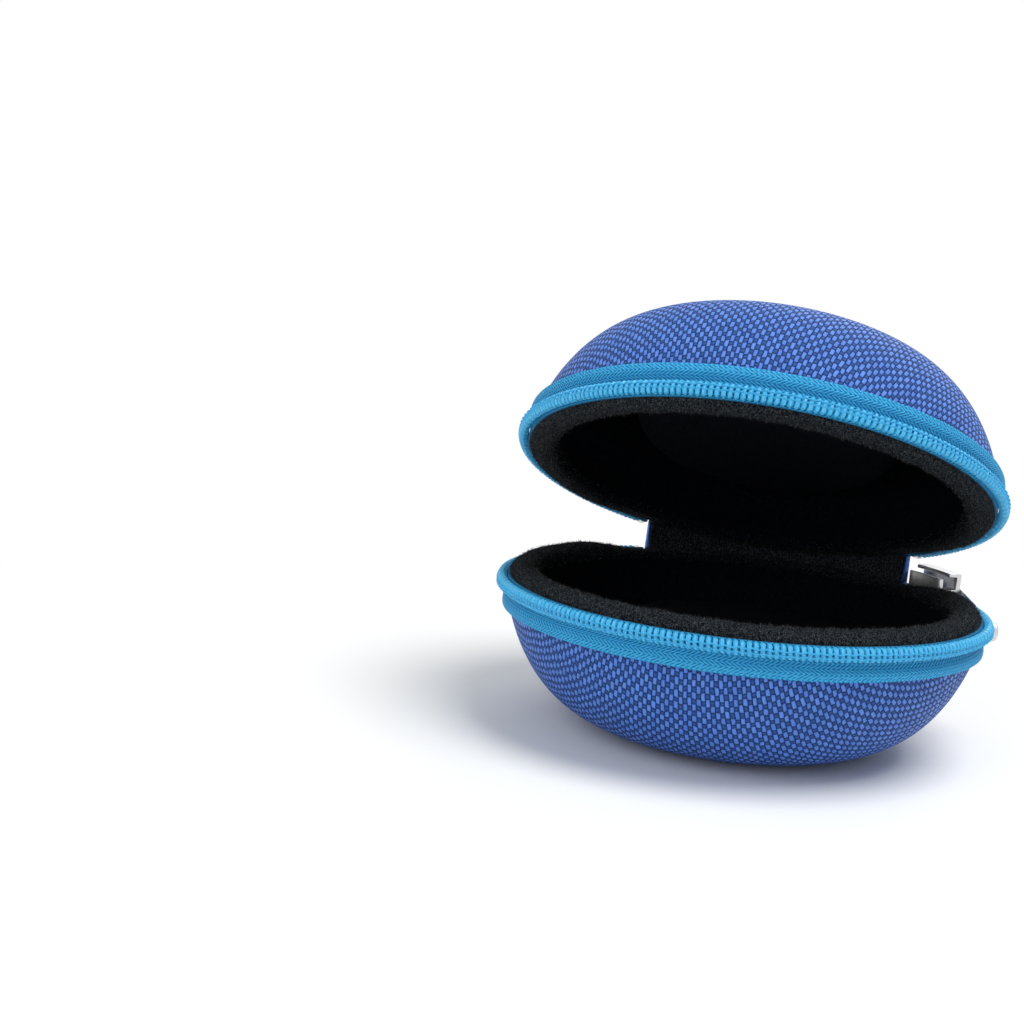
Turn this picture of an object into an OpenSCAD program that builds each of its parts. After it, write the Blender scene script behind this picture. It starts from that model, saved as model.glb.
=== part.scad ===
// Round zipped travel case for a wrist watch: two domed halves, a cloth hinge and a coil zip.
// The origin is the centre of the flat foot, +Z is up, the front is -Y and the hinge is at +Y.
// Each half is drawn with its mouth plane at z = 0 and its depth going down, and depths are
// measured from that plane. Angles run anticlockwise from +X, seen from above.

/* [Case] */
// Diameter over the zip coils
case_d = 108; // [100:1:120]
// Depth of one half, from its mouth to its flat foot
half_depth = 32.5; // [30:0.5:38]
// How far the domed curve would rise past the flat foot
crown_rise = 0.4; // [0.2:0.1:1]
// Power of the dome's curve along its depth
depth_power = 1.5; // [1.3:0.1:2.2]
// Power of the dome's curve across its width
width_power = 4.5; // [3:0.1:5]
// Angle at which the lid stands open
lid_open = 24.5; // [20:0.5:60]

/* [Walls] */
// Thickness of the woven nylon cover
cover_t = 0.8; // [0.6:0.1:1.2]
// Thickness of the moulded foam shell
foam_t = 4; // [3:0.1:5]
// Thickness of the fleece lining
lining_t = 1.2; // [0.8:0.1:1.6]

/* [Cushions] */
// Diameter of the raised round cushion inside each half
cushion_d = 58; // [50:1:64]
// Depth of the cushion's face below the mouth
cushion_depth = 8; // [6:0.5:12]
// Radius of the cushion's edge
cushion_edge = 6; // [4:0.5:8]

/* [Rim] */
// Gap from the mouth plane to the top of each rim
rim_gap = 0.3; // [0.3:0.1:0.6]
// Depth of the groove behind the free edge of the zip tape
groove_depth = 4.8; // [4.2:0.1:6]
// Radius on the two edges of the fleece lip
lip_round = 0.9; // [0.4:0.1:1]

/* [Zip] */
// Radial thickness of the coil
coil_t = 2.3; // [2:0.1:2.6]
// Width of one coil, along the depth
coil_w = 2.8; // [2.4:0.1:3]
// Gap from the mouth plane to the coil
coil_gap = 0.6; // [0.5:0.1:0.8]
// Distance from one turn of the coil to the next
coil_pitch = 1.3; // [1.2:0.1:2]
// Depth of the notch between two turns
coil_notch = 0.4; // [0.2:0.1:0.6]
// Thickness of the zip tape
tape_t = 0.6; // [0.4:0.1:0.8]
// Depth to which the zip tape reaches down the wall
tape_w = 7.2; // [6.8:0.1:10]
// How far the tape swells out over its padded middle
tape_swell = 0.6; // [0.3:0.1:0.8]
// Width of the stitched edge of the tape
seam_w = 0.8; // [0.7:0.1:1.2]
// Width of a sewing thread
thread_w = 0.5; // [0.3:0.1:0.6]
// How far a sewing thread stands proud
thread_t = 0.3; // [0.2:0.05:0.35]
// Length of each end stop along the coil
stop_l = 1.5; // [1:0.1:2.5]
// Gap left between parts that follow each other along the rim
end_gap = 0.9; // [0.5:0.1:1.5]

/* [Slider] */
// Length of the slider along the rim
slider_l = 12.2; // [10:0.1:14]
// Thickness of the slider's outer plate
outer_plate_t = 1.15; // [0.9:0.05:1.4]
// Thickness of the slider's inner plate
inner_plate_t = 0.9; // [0.7:0.05:1.1]
// Half height of the slider's inner plate
inner_plate_h = 3; // [2:0.1:3]
// Width of the edges that fold round the coils
flange_w = 0.85; // [0.6:0.05:1]
// Length of the wedge that parts the two coils
wedge_l = 3.2; // [2:0.1:4]
// Running clearance of the slider round the coils
coil_clear = 0.35; // [0.25:0.05:0.5]
// Running clearance of the slider on the tape
tape_clear = 0.25; // [0.15:0.05:0.35]
// Running clearance of the folded edges below the coils
flange_clear = 0.1; // [0.05:0.01:0.2]
// Clearance between the slider's inner plate and the fleece lip
lip_clear = 0.75; // [0.6:0.05:1.5]

/* [Pull] */
// Length of the pull tab from its pivot
pull_l = 24; // [18:1:28]
// Width of the pull tab
pull_w = 4.8; // [4.4:0.1:6]
// Thickness of the pull tab
pull_t = 1.4; // [1:0.1:1.6]
// Diameter of the pull tab's pivot bar
pivot_d = 1.7; // [1.4:0.1:2]
// Radial running clearance of the pivot bar
pivot_clear = 0.07; // [0.03:0.01:0.1]
// Height of the pivot above the slider's outer plate
pivot_h = 1.9; // [1.8:0.1:2.2]
// Width of the crown that holds the pivot bar
crown_w = 2.2; // [1.8:0.1:2.6]
// Wall of the crown round its bore
crown_wall = 0.9; // [0.6:0.1:1.2]
// Length of the crown's foot along the slider
crown_l = 5.2; // [4.4:0.1:6]
// Side clearance of the pull tab round the crown
crown_clear = 0.15; // [0.1:0.05:0.25]
// Angle at which the pull tab droops
pull_droop = 15; // [5:1:18]
// Angle at which the pull tab leans in towards the wall
pull_lean = 12; // [8:1:12]

/* [Hinge] */
// Width of the cloth hinge along the wall
hinge_w = 68; // [58:1:76]
// Thickness of the outer hinge cloth
hinge_t = 1; // [0.8:0.1:1.2]
// Thickness of the inner hinge cloth
hinge_lining_t = 0.6; // [0.4:0.1:0.7]
// Distance of the hinge axis outside the wall
hinge_out = 1.2; // [1.2:0.1:2]
// Clearance between a hinge cloth and the halves
hinge_clear = 0.3; // [0.2:0.05:0.35]

/* [Hidden] */
$fn = 96;

nylon_blue = [0.17, 0.26, 0.56];
foam_black = [0.1, 0.1, 0.11];
fleece_black = [0.12, 0.14, 0.16];
tape_blue = [0.22, 0.58, 0.8];
coil_blue = [0.27, 0.66, 0.88];
thread_blue = [0.35, 0.72, 0.9];
silver = [0.75, 0.76, 0.78];

// Radii of the wall and of what lies on it
out_r = case_d / 2;
tape_r = out_r - coil_t;
wall_r = tape_r - tape_t;
foam_in = cover_t + foam_t;
lining_in = foam_in + lining_t;
inside_r = wall_r - lining_in;
lip_top = rim_gap + lining_t;
coil_end = coil_gap + coil_w;

// The slider's plates, and the lip that leaves room for the inner one
inner_face_r = wall_r - tape_clear;
inner_back_r = inner_face_r - inner_plate_t;
outer_face_r = out_r + coil_clear;
outer_back_r = outer_face_r + outer_plate_t;
flange_r = tape_r + thread_t + tape_clear;
flange_in = coil_end + flange_clear;
flange_end = flange_in + flange_w;
wedge_h = coil_gap - flange_clear;
lip_r = inner_back_r - lip_clear;

// The pull's pivot, its bar and the crown round it
pivot_r = outer_back_r + pivot_h;
bar_r = pivot_d / 2;
bore_r = bar_r + pivot_clear;
crown_r = bore_r + crown_wall;
window_h = crown_w / 2 + crown_clear;
window_l = max(crown_r, crown_l / 2) + end_gap / 2;
eye_r = bar_r + crown_wall / 2;

// Places along the rim, in degrees
hinge_a = degrees_on(wall_r, hinge_w / 2);
tape_a = hinge_a + degrees_on(tape_r, end_gap);
coil_a = tape_a + degrees_on(tape_r, stop_l);
slider_a = degrees_on(out_r, slider_l / 2);
park_a = 90 - coil_a - degrees_on(out_r, end_gap / 2) - slider_a;
lid_tape_a = 90 - park_a + slider_a + degrees_on(out_r, end_gap);
lid_coil_a = lid_tape_a + degrees_on(tape_r, stop_l);

mouth_z = half_depth;
hinge_y = wall_r + hinge_out;
cushion_r = cushion_d / 2;
core_r = cushion_r - lining_t;

// Steps in a dome, an edge, the tape's swell and the hinge cloth
dome_steps = 14;
floor_steps = 5;
edge_steps = 6;
swell_steps = 8;
cloth_steps = 20;
drop = 0.01;

function degrees_on(radius, length) = length / radius * 180 / PI;
function back_to_front(list) = [for (i = [len(list) - 1:-1:0]) list[i]];

// One layer of the dome, set in from the outer face. t runs from 0 at the mouth to 90 at the axis.
function dome_h(inset) = half_depth - inset + crown_rise;
function dome_r(inset) =
    (wall_r - inset) / pow(1 - pow(tape_w / dome_h(inset), depth_power), 1 / width_power);
function t_at_depth(inset, depth) = asin(pow(depth / dome_h(inset), depth_power / 2));
function t_at_radius(inset, radius) = acos(pow(radius / dome_r(inset), width_power / 2));
function t_top(inset) = t_at_depth(inset, tape_w);
function t_foot(inset) = t_at_depth(inset, half_depth - inset);
function dome_point(inset, t) = [
    dome_r(inset) * pow(cos(t), 2 / width_power),
    -dome_h(inset) * pow(sin(t), 2 / depth_power)
];
function dome(inset, from, to, steps) =
    [for (i = [0:steps]) dome_point(inset, from + (to - from) * i / steps)];

// The bowl from the tape's edge to the axis, with a point where the cushion's side meets it
function bowl(inset, split_r) =
    let (split = t_at_radius(inset, split_r))
    concat(
        dome(inset, t_top(inset), split, dome_steps),
        dome(inset, split + (t_foot(inset) - split) / floor_steps, t_foot(inset), floor_steps - 1),
        [[0, -(half_depth - inset)]]
    );
function bowl_side(inset, split_r) = dome(inset, t_top(inset), t_at_radius(inset, split_r), dome_steps);

// A quarter circle about [x, z] from one angle to another
function arc(x, z, radius, from, to) = [
    for (i = [0:edge_steps])
        let (a = from + (to - from) * i / edge_steps)
        [x + radius * cos(a), z + radius * sin(a)]
];

// The cushion's top, from its side to the axis, set in by the lining for the foam core
function cushion_top(inset) = concat(
    arc(cushion_r - cushion_edge, -(cushion_depth + cushion_edge), cushion_edge - inset, 0, 90),
    [[0, -(cushion_depth + inset)]]
);

// Puts one half on the ground, and the other over it, turned back about the hinge
module as_base() {
    translate([0, 0, mouth_z]) children();
}

module as_lid() {
    translate([0, hinge_y, mouth_z])
        rotate([-lid_open, 0, 0])
            translate([0, -hinge_y, 0])
                mirror([0, 0, 1]) children();
}

// An arc along the rim that leaves out an angle each side of the back
module along_rim(open_a) {
    rotate_extrude(angle = 360 - 2 * open_a, start = open_a - 270) children();
}

module half_cover() {
    outer = bowl(0, cushion_r);
    inner = bowl(cover_t, cushion_r);
    color(nylon_blue)
        rotate_extrude()
            polygon(concat(
                [[wall_r - cover_t, -groove_depth], [wall_r, -groove_depth]],
                outer,
                back_to_front(inner)
            ));
}

module half_foam() {
    outer = bowl(cover_t, cushion_r);
    inner = bowl(foam_in, core_r);
    color(foam_black)
        rotate_extrude()
            polygon(concat(
                [
                    [wall_r - foam_in, -lip_top],
                    [lip_r, -lip_top],
                    [lip_r, -groove_depth],
                    [wall_r - cover_t, -groove_depth]
                ],
                outer,
                back_to_front(inner)
            ));
}

module half_lining() {
    color(fleece_black)
        rotate_extrude()
            polygon(concat(
                [[lip_r, -lip_top]],
                arc(lip_r - lip_round, -(rim_gap + lip_round), lip_round, 0, 90),
                arc(inside_r + lip_round, -(rim_gap + lip_round), lip_round, 90, 180),
                bowl_side(lining_in, cushion_r),
                cushion_top(0),
                back_to_front(cushion_top(lining_t)),
                back_to_front(bowl_side(foam_in, core_r)),
                [[wall_r - foam_in, -lip_top]]
            ));
}

module half_cushion() {
    floor = [for (p = bowl(foam_in, core_r)) if (p.x <= core_r + drop) p];
    color(foam_black)
        rotate_extrude()
            polygon(concat(cushion_top(lining_t), back_to_front(floor)));
}

module half_tape(open_a) {
    swell_top = flange_end + flange_clear;
    swell_end = tape_w - seam_w;
    color(tape_blue)
        along_rim(open_a)
            polygon(concat(
                [[wall_r, -tape_w], [tape_r, -tape_w]],
                [
                    for (i = [0:swell_steps])
                        let (f = i / swell_steps)
                        [
                            tape_r + tape_swell * pow(sin(180 * f), 2),
                            -(swell_end + (swell_top - swell_end) * f)
                        ]
                ],
                [[tape_r, -coil_gap], [wall_r, -coil_gap]]
            ));
}

module half_coil(open_a) {
    sweep = 360 - 2 * open_a;
    turns = round(sweep / degrees_on(out_r, coil_pitch));
    step = sweep / turns / 2;
    start = open_a - 270;
    bore = tape_r - coil_t / 2;
    ridge = [
        for (i = [0:2 * turns])
            let (r = i % 2 == 0 ? out_r - coil_notch : out_r, a = start + step * i)
            [r * cos(a), r * sin(a)]
    ];
    inner = [
        for (i = [turns:-4:0])
            let (a = start + 2 * step * i)
            [bore * cos(a), bore * sin(a)]
    ];
    color(coil_blue)
        translate([0, 0, -coil_end])
            difference() {
                linear_extrude(coil_w)
                    polygon(concat(ridge, inner, [[bore * cos(start), bore * sin(start)]]));
                translate([0, 0, -drop])
                    cylinder(r = tape_r, h = coil_w + 2 * drop);
            }
}

module half_coil_thread(open_a) {
    color(thread_blue)
        along_rim(open_a)
            translate([tape_r, -(coil_end + thread_w)]) square([thread_t, thread_w]);
}

module half_seam_thread(open_a) {
    color(thread_blue)
        along_rim(open_a)
            translate([tape_r, -(tape_w - seam_w / 2 + thread_w / 2)]) square([thread_t, thread_w]);
}

module half_zip_stops(open_a) {
    stop_a = degrees_on(tape_r, stop_l);
    color(silver)
        for (start = [90 - open_a - stop_a, 90 + open_a])
            rotate_extrude(angle = stop_a, start = start)
                translate([tape_r, -coil_end]) square([coil_t, coil_w]);
}

// A point of the hinge cloth: below the mouth plane it lies on the base, above it on the lid
function on_lid(p) = [
    p.x,
    hinge_y + (p.y - hinge_y) * cos(lid_open) + p.z * sin(lid_open),
    mouth_z - (p.y - hinge_y) * sin(lid_open) + p.z * cos(lid_open)
];
function on_base(p) = [p.x, p.y, mouth_z + p.z];
function cloth_side(radius, a, height) =
    let (p = [radius * cos(a), radius * sin(a), height])
    height < 0 ? on_base(p) : on_lid(p);
function cloth_point(radius, a, height) =
    height != 0
        ? cloth_side(radius, a, height)
        : (cloth_side(radius, a, -rim_gap) + cloth_side(radius, a, rim_gap)) / 2;

module hinge_cloth(radius, thickness, reach, width_a) {
    heights = [-reach, -reach * 2 / 3, -reach / 3, -rim_gap, 0, rim_gap, reach / 3, reach * 2 / 3, reach];
    rows = len(heights);
    grid = [
        for (r = [radius, radius + thickness])
            for (i = [0:cloth_steps])
                let (a = 90 - width_a + 2 * width_a * i / cloth_steps)
                for (h = heights) cloth_point(r, a, h)
    ];
    layer = (cloth_steps + 1) * rows;
    sheet = [
        for (i = [0:cloth_steps - 1])
            for (j = [0:rows - 2])
                let (k = i * rows + j)
                each [[k, k + 1, k + rows], [k + 1, k + rows + 1, k + rows]]
    ];
    outside = [for (f = sheet) [f[2] + layer, f[1] + layer, f[0] + layer]];
    long_edges = [
        for (i = [0:cloth_steps - 1])
            let (k = i * rows, m = k + rows - 1)
            each [
                [k, k + rows, k + layer], [k + rows, k + rows + layer, k + layer],
                [m + rows, m, m + rows + layer], [m, m + layer, m + rows + layer]
            ]
    ];
    short_edges = [
        for (j = [0:rows - 2])
            let (k = j, m = layer - rows + j)
            each [
                [k + 1, k, k + 1 + layer], [k, k + layer, k + 1 + layer],
                [m, m + 1, m + layer], [m + 1, m + 1 + layer, m + layer]
            ]
    ];
    polyhedron(grid, concat(sheet, outside, long_edges, short_edges));
}

module hinge_panel() {
    color(nylon_blue)
        hinge_cloth(wall_r + hinge_clear, hinge_t, tape_w, hinge_a);
}

module hinge_lining() {
    color(fleece_black)
        hinge_cloth(lip_r + hinge_clear, hinge_lining_t, groove_depth - hinge_clear, hinge_a);
}

// The slider's own frame: +X out of the wall, -Y the way it closes the zip
module at_slider() {
    translate([0, 0, mouth_z]) rotate([0, 0, park_a]) children();
}

module at_pivot() {
    translate([pivot_r, 0, 0]) rotate([pull_droop, 0, -pull_lean]) children();
}

module slider_body() {
    color(silver)
        at_slider() {
            rotate_extrude(angle = 2 * slider_a, start = -slider_a)
                polygon([
                    [flange_r, -flange_end],
                    [outer_back_r, -flange_end],
                    [outer_back_r, flange_end],
                    [flange_r, flange_end],
                    [flange_r, flange_in],
                    [outer_face_r, flange_in],
                    [outer_face_r, -flange_in],
                    [flange_r, -flange_in]
                ]);
            rotate_extrude(angle = 2 * slider_a, start = -slider_a)
                translate([inner_back_r, -inner_plate_h])
                    square([inner_plate_t, 2 * inner_plate_h]);
            rotate_extrude(angle = degrees_on(out_r, wedge_l), start = -slider_a)
                translate([inner_back_r, -wedge_h])
                    square([outer_back_r - inner_back_r, 2 * wedge_h]);
        }
}

module slider_crown() {
    color(silver)
        at_slider()
            difference() {
                at_pivot() {
                    cylinder(r = crown_r, h = crown_w, center = true);
                    translate([-pivot_h - crown_wall, -crown_l / 2, -crown_w / 2])
                        cube([pivot_h + crown_wall, crown_l, crown_w]);
                }
                at_pivot()
                    cylinder(r = bore_r, h = 2 * crown_w, center = true);
                cylinder(r = outer_back_r, h = 4 * crown_w, center = true);
            }
}

module pull_tab() {
    color(silver)
        at_slider()
            at_pivot() {
                cylinder(r = bar_r, h = pull_w, center = true);
                difference() {
                    union() {
                        cylinder(r = eye_r, h = pull_w, center = true);
                        translate([-pull_t / 2, -pull_l + pull_w / 2, -pull_w / 2])
                            cube([pull_t, pull_l - pull_w / 2, pull_w]);
                        translate([0, -pull_l + pull_w / 2, 0])
                            rotate([0, 90, 0])
                                cylinder(d = pull_w, h = pull_t, center = true);
                    }
                    translate([-eye_r - drop, -window_l, -window_h])
                        cube([2 * (eye_r + drop), window_l + eye_r + drop, 2 * window_h]);
                }
            }
}

// The pieces of the base
module base_cover() {
    as_base() half_cover();
}

module base_foam() {
    as_base() half_foam();
}

module base_lining() {
    as_base() half_lining();
}

module base_cushion() {
    as_base() half_cushion();
}

module base_tape() {
    as_base() half_tape(tape_a);
}

module base_coil() {
    as_base() half_coil(coil_a);
}

module base_coil_thread() {
    as_base() half_coil_thread(tape_a);
}

module base_seam_thread() {
    as_base() half_seam_thread(tape_a);
}

module base_zip_stops() {
    as_base() half_zip_stops(tape_a);
}

// The pieces of the lid
module lid_cover() {
    as_lid() half_cover();
}

module lid_foam() {
    as_lid() half_foam();
}

module lid_lining() {
    as_lid() half_lining();
}

module lid_cushion() {
    as_lid() half_cushion();
}

module lid_tape() {
    as_lid() half_tape(lid_tape_a);
}

module lid_coil() {
    as_lid() half_coil(lid_coil_a);
}

module lid_coil_thread() {
    as_lid() half_coil_thread(lid_tape_a);
}

module lid_seam_thread() {
    as_lid() half_seam_thread(lid_tape_a);
}

module lid_zip_stops() {
    as_lid() half_zip_stops(lid_tape_a);
}

base_cover();
base_foam();
base_lining();
base_cushion();
base_tape();
base_coil();
base_coil_thread();
base_seam_thread();
base_zip_stops();
lid_cover();
lid_foam();
lid_lining();
lid_cushion();
lid_tape();
lid_coil();
lid_coil_thread();
lid_seam_thread();
lid_zip_stops();
hinge_panel();
hinge_lining();
slider_body();
slider_crown();
pull_tab();
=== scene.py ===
from math import asin, atan2, cos, degrees, hypot, pi, radians, sin, tau
from random import Random
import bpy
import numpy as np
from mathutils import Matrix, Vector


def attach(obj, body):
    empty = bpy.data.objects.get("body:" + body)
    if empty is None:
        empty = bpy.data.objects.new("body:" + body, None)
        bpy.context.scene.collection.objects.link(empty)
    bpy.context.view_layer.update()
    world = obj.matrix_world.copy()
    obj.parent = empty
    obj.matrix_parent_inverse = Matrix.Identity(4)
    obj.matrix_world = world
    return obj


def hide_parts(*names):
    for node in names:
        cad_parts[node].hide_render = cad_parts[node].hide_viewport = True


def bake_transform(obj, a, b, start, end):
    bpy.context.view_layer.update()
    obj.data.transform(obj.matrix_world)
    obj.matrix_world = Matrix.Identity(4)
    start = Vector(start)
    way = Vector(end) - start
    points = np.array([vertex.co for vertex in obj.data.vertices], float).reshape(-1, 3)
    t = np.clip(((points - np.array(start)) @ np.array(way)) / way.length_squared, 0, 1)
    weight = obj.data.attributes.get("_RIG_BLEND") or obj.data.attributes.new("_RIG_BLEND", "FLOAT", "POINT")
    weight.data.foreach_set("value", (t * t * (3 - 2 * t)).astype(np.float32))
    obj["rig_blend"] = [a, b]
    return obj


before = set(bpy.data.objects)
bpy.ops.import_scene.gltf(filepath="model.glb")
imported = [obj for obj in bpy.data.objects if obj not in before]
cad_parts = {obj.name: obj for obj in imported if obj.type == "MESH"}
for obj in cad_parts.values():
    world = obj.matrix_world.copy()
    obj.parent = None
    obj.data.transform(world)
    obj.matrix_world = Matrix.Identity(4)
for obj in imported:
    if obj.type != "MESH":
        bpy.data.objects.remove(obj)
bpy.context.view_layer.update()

from types import SimpleNamespace

import bmesh
import bpy
from bpy.props import FloatProperty, FloatVectorProperty, PointerProperty
from mathutils import Matrix, Vector, noise

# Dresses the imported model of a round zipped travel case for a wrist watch. The shapes are worked
# out in millimetres in the frame of one half, where the mouth plane is z = 0 and the depth goes
# down. Angles along the rim run anticlockwise from the hinge at +Y. case() gives the two places
# that put a half's finished mesh into the row frame, in metres.

bl_info = {
    "name": "Zipped Travel Case",
    "version": (1, 0, 0),
    "blender": (4, 5, 0),
    "location": "3D View > Sidebar > Travel Case",
    "description": "Builds the cloth, fleece, foam and zip of a round travel case",
    "category": "Add Mesh",
}

MM = 0.001

# The solids' own dome curve, walls and rim, in millimetres
CROWN_RISE = 0.4
DEPTH_POWER = 1.5
WIDTH_POWER = 4.5
COVER_T = 0.8
FOAM_T = 4.0
LINING_T = 1.2
TAPE_T = 0.6
COIL_T = 2.3
COIL_W = 2.8
COIL_GAP = 0.6
GROOVE_DEPTH = 4.8
HINGE_OUT = 1.2
HINGE_W = 68.0
HINGE_T = 1.0
HINGE_LINING_T = 0.6
HINGE_CLEAR = 0.3
END_GAP = 0.9
STOP_L = 1.5
LIP_R = 49.2
CUSHION_D = 58.0
CUSHION_DEPTH = 8.0
CUSHION_EDGE = 6.0

# The scene's own finer sizes, in millimetres: the top of the foam, the foot of the soft lip and
# the top of the wall under it, the groove beside the coil, the rows of thread below the coil's
# top, the stitches along the tape's edge, and half the height over which the hinge cloth bends
FOAM_TOP = 2.0
LIP_FOOT = 0.5
WALL_TOP = -1.2
TAPE_GROOVE = 0.28
THREAD_ROWS = (1.12, 2.0)
SEAM_PITCH = 2.6
SEAM_IN = 0.55
CREASE = 0.04

# Distances from the groove over the lip: up to the first the fleece shows its light nap tips in
# full, and past the second painted shade of the case's inside darkens it nearly to its ground. In
# the lid the painted shade begins sooner. The shader's scale of the nap is per metre.
LIT_TO_SHADED = (10.5, 16.0)
SHADE_SOONER = {"base": 0, "lid": 2.5}
NAP_SCALE = 650.0

# Numbers of fibres, and the seeds of a lip's dark fibres, its loose fibres and a cushion's fibres
LIP_FIBRES, LOOSE_FIBRES, CUSHION_FIBRES = 30000, 16000, 12000
SEEDS = {"base": (7, 13, 3), "lid": (11, 17, 5)}

# Angles from the hinge between which the lip rises to its full height, in degrees
LIP_RISES = (40, 66)

# Steps round the rim and along a dome's curve, rows and columns of the hinge cloth, the hinge's
# stitches in one row, and the share of a warp yarn that lies on top
RIM_STEPS = 288
DOME_STEPS = 44
HINGE_ROWS, HINGE_COLUMNS = 15, 56
HINGE_STITCHES = 17
FLOAT_SHARE = 0.6

# The stage, in metres, degrees and watts: where the floor's fade to white begins and ends, the
# camera, and each lamp's name, place, size and power
WHITE = (1.0, 1.0, 1.0, 1.0)
SKY, SKY_STRENGTH = (0.97, 0.985, 1.0, 1.0), 0.42
FADE_MIDDLE, FADE_FROM, FADE_TO = (-0.035, -0.015, 0.0), 0.07, 0.2
CAMERA_AT, CAMERA_TURNS, LENS = (0.05869, -0.34693, 0.0637), (-18.09, 8.36, 4.79), 56.25
LAMPS = (
    ("key", (0.3, -0.12, 0.8), 0.5, 5.0),
    ("fill", (-0.35, -0.85, 0.5), 0.9, 3.4),
    ("rim", (0.1, 0.75, 0.6), 0.7, 1.2),
)

HALVES = ("base", "lid")


def lengths(name, default, about):
    """A length that a user may change, in metres."""
    return FloatProperty(
        name=name, description=about, default=default * MM, unit="LENGTH", precision=5
    )


def tint(name, default, about):
    """A colour that a user may change."""
    return FloatVectorProperty(
        name=name, description=about, default=default, subtype="COLOR", size=3, min=0, max=1
    )


class CaseSizes(bpy.types.PropertyGroup):
    """Sizes of the case and of its cloth, zip and fleece."""

    case_d: lengths("Diameter", 108, "Diameter over the zip coils")
    half_depth: lengths("Half depth", 32.5, "Depth of one half, from its mouth to its flat foot")
    tape_w: lengths("Tape width", 7.2, "How far the zip tape reaches down the wall")
    tape_swell: lengths("Tape swell", 0.75, "How far the tape swells out over its padding")
    base_lip_rise: lengths("Base lip rise", 1.9, "Height of the base's soft lip")
    lid_lip_rise: lengths("Lid lip rise", 0.9, "Height of the lid's soft lip")
    coil_pitch: lengths("Coil pitch", 1.3, "Distance from one turn of the coil to the next")
    wire_r: lengths("Coil wire", 0.47, "Radius of the wire that the coil is wound from")
    thread_r: lengths("Thread", 0.21, "Radius of the sewing threads")
    warp_pitch: lengths("Warp pitch", 1.04, "Distance between the nylon's warp yarns")
    weft_pitch: lengths("Weft pitch", 1.5, "Distance between the nylon's weft yarns")
    rib_pitch: lengths("Rib pitch", 1.0, "Distance between the ribs of the twill")
    rib_band: lengths("Rib band", 2.3, "Width of one band of the tape's herringbone")
    nap_l: lengths("Nap length", 0.8, "Length of the longest fibres of the fleece")
    metal_edge: lengths("Metal edge", 0.16, "Rounding of the slider's and pull's edges")
    lid_open: FloatProperty(
        name="Lid angle",
        description="Angle at which the lid stands open",
        default=radians(24.5),
        subtype="ANGLE",
    )


class CaseColours(bpy.types.PropertyGroup):
    """Colours of the case's cloth, fleece, zip and metal."""

    warp: tint("Nylon warp", (0.05, 0.15, 0.54), "The nylon's raised yarns")
    # The lit warp colour is a painted highlight on the crests of the raised yarns.
    warp_highlight: tint("Nylon warp, lit", (0.15, 0.32, 0.88), "The crests of the raised yarns")
    # The weft is the warp's own nylon; its darker colour is painted shade where it lies lower between the
    # floats.
    weft: tint("Nylon weft", (0.03, 0.098, 0.34), "The nylon's yarns that lie lower")
    # The gaps' colour is painted shade between the yarns.
    nylon_gap_shade: tint("Nylon, gaps", (0.002, 0.01, 0.065), "The gaps between the yarns")
    tape: tint("Tape", (0.04, 0.42, 0.76), "The ribs of the zip tape")
    # The gaps' colour is painted shade between the tape's ribs.
    tape_gap_shade: tint("Tape, gaps", (0.006, 0.16, 0.42), "The gaps between the tape's ribs")
    coil: tint("Coil", (0.06, 0.5, 0.86), "The coil's nylon wire")
    fleece: tint("Fleece", (0.0016, 0.0024, 0.005), "The ground of the fleece")
    fleece_nap: tint("Fleece, nap", (0.105, 0.12, 0.13), "The tips of the brushed fleece's fibres")
    fleece_fibre: tint("Fleece, fibres", (0.19, 0.2, 0.2), "The long loose fibres of the fleece")
    foam: tint("Foam", (0.02, 0.02, 0.022), "The moulded foam")
    metal: tint("Metal", (0.72, 0.72, 0.73), "The slider and its pull")
    floor: tint("Floor", (0.95, 0.95, 0.94), "The floor under the case")


def case(context):
    """The sizes in millimetres, with the radii and angles that follow from them."""
    p = context.scene.case_sizes
    names = [name for name in CaseSizes.__annotations__ if name != "lid_open"]
    c = SimpleNamespace(**{name: getattr(p, name) / MM for name in names})
    c.lid_open = p.lid_open
    c.out_r = c.case_d / 2
    c.tape_r = c.out_r - COIL_T
    c.wall_r = c.tape_r - TAPE_T
    c.foam_in = COVER_T + FOAM_T
    c.lining_in = c.foam_in + LINING_T
    c.inside_r = c.wall_r - c.lining_in
    c.coil_end = COIL_GAP + COIL_W
    c.hinge_y = c.wall_r + HINGE_OUT
    c.hinge_a = degrees(HINGE_W / 2 / c.wall_r)
    c.tape_a = c.hinge_a + degrees(END_GAP / c.tape_r)
    c.coil_a = c.tape_a + degrees(STOP_L / c.tape_r)
    c.lip_rise = {"base": c.base_lip_rise, "lid": c.lid_lip_rise}
    to_metres = Matrix.Scale(MM, 4)
    over = Matrix.Diagonal((1, 1, -1, 1))
    c.place = {
        "base": to_metres @ Matrix.Translation((0, 0, c.half_depth)),
        "lid": to_metres
        @ Matrix.Translation((0, c.hinge_y, c.half_depth))
        @ Matrix.Rotation(-c.lid_open, 4, "X")
        @ Matrix.Translation((0, -c.hinge_y, 0))
        @ over,
    }
    # takes what lies over the base's mouth plane along with the lid
    c.with_lid = c.place["base"].inverted() @ c.place["lid"] @ over
    return c


# Curves of the case ------------------------------------------------------------------------------


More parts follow.
